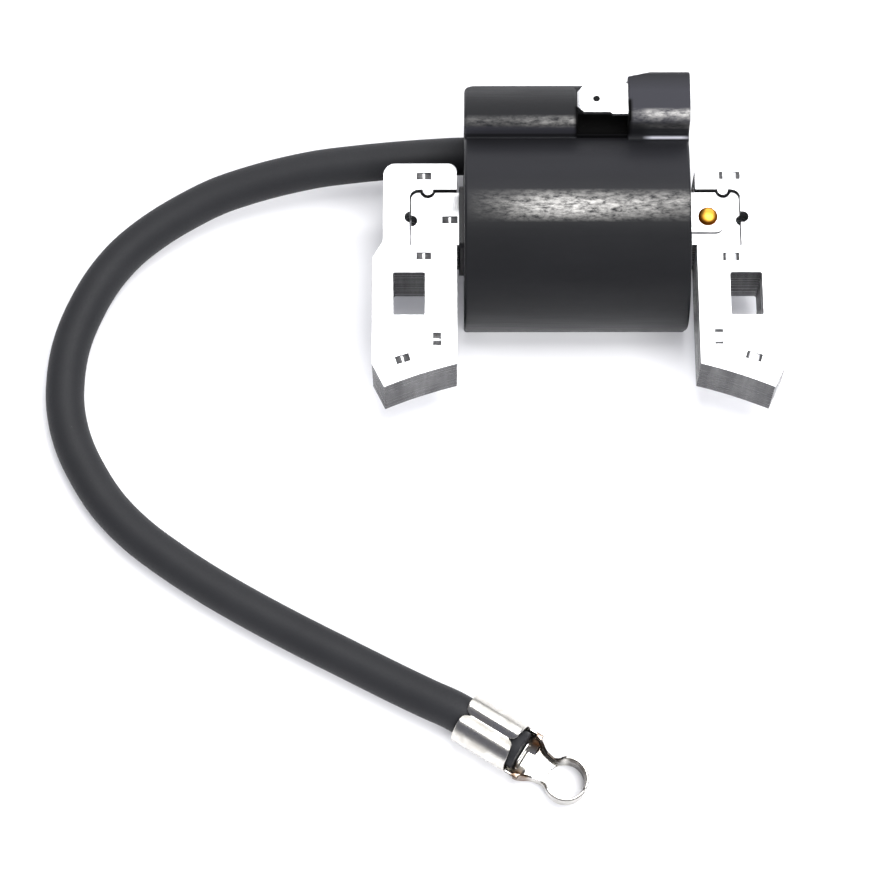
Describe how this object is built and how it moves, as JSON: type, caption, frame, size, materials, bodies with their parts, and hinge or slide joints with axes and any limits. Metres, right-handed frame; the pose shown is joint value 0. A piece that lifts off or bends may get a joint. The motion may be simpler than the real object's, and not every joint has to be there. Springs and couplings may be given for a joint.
{
  "type": "ignition coil",
  "caption": "Small-engine magneto ignition coil: moulded barrel on a laminated two-leg core, spade stop terminal, and a high-tension lead ending in a crimped snap terminal.",
  "frame": {"origin": "on the flat potted back, under the middle of the crossbar", "axes": "+X along the crossbar towards the rivet, -Y towards the flywheel (the legs point that way), +Z out of the front of the laminated stack"},
  "size_m": [0.1335, 0.1263, 0.0349],
  "materials": {
    "lamination_steel": "bright ground electrical steel, sheared edges",
    "housing_plastic": "satin black glass-filled moulding with scuffs",
    "potting_epoxy": "black cast epoxy",
    "bobbin_nylon": "moulded nylon",
    "magnet_wire": "enamelled copper wire",
    "film": "polyester film",
    "board_laminate": "solder-masked glass laminate",
    "component_plastic": "moulded epoxy",
    "resistor_lacquer": "lacquer",
    "tinned_brass": "bright tin plate",
    "rivet_copper": "coppered steel",
    "lead_rubber": "matt black rubber",
    "nickel_plate": "nickel plate with a straw tint"
  },
  "bodies": {
    "root": {"left_leg": "lamination_steel", "right_leg": "lamination_steel", "core_bar": "lamination_steel", "coil_housing": "housing_plastic", "potting_fill": "potting_epoxy", "primary_bobbin": "bobbin_nylon", "primary_winding": "magnet_wire", "insulation_sleeve": "film", "secondary_bobbin": "bobbin_nylon", "secondary_winding_1": "magnet_wire", "secondary_winding_2": "magnet_wire", "secondary_winding_3": "magnet_wire", "secondary_winding_4": "magnet_wire", "secondary_winding_5": "magnet_wire", "circuit_board": "board_laminate", "power_transistor": "component_plastic", "trigger_transistor": "component_plastic", "bias_resistor": "resistor_lacquer", "trigger_resistor": "resistor_lacquer", "suppressor_diode": "component_plastic", "stop_terminal": "tinned_brass", "ground_strap": "tinned_brass", "ground_rivet": "rivet_copper", "ht_contact": "rivet_copper", "ht_link_wire": "magnet_wire", "primary_feed_wire": "magnet_wire", "primary_ground_wire": "magnet_wire", "ht_lead": "lead_rubber", "plug_terminal": "nickel_plate"}
  },
  "joints": []
}
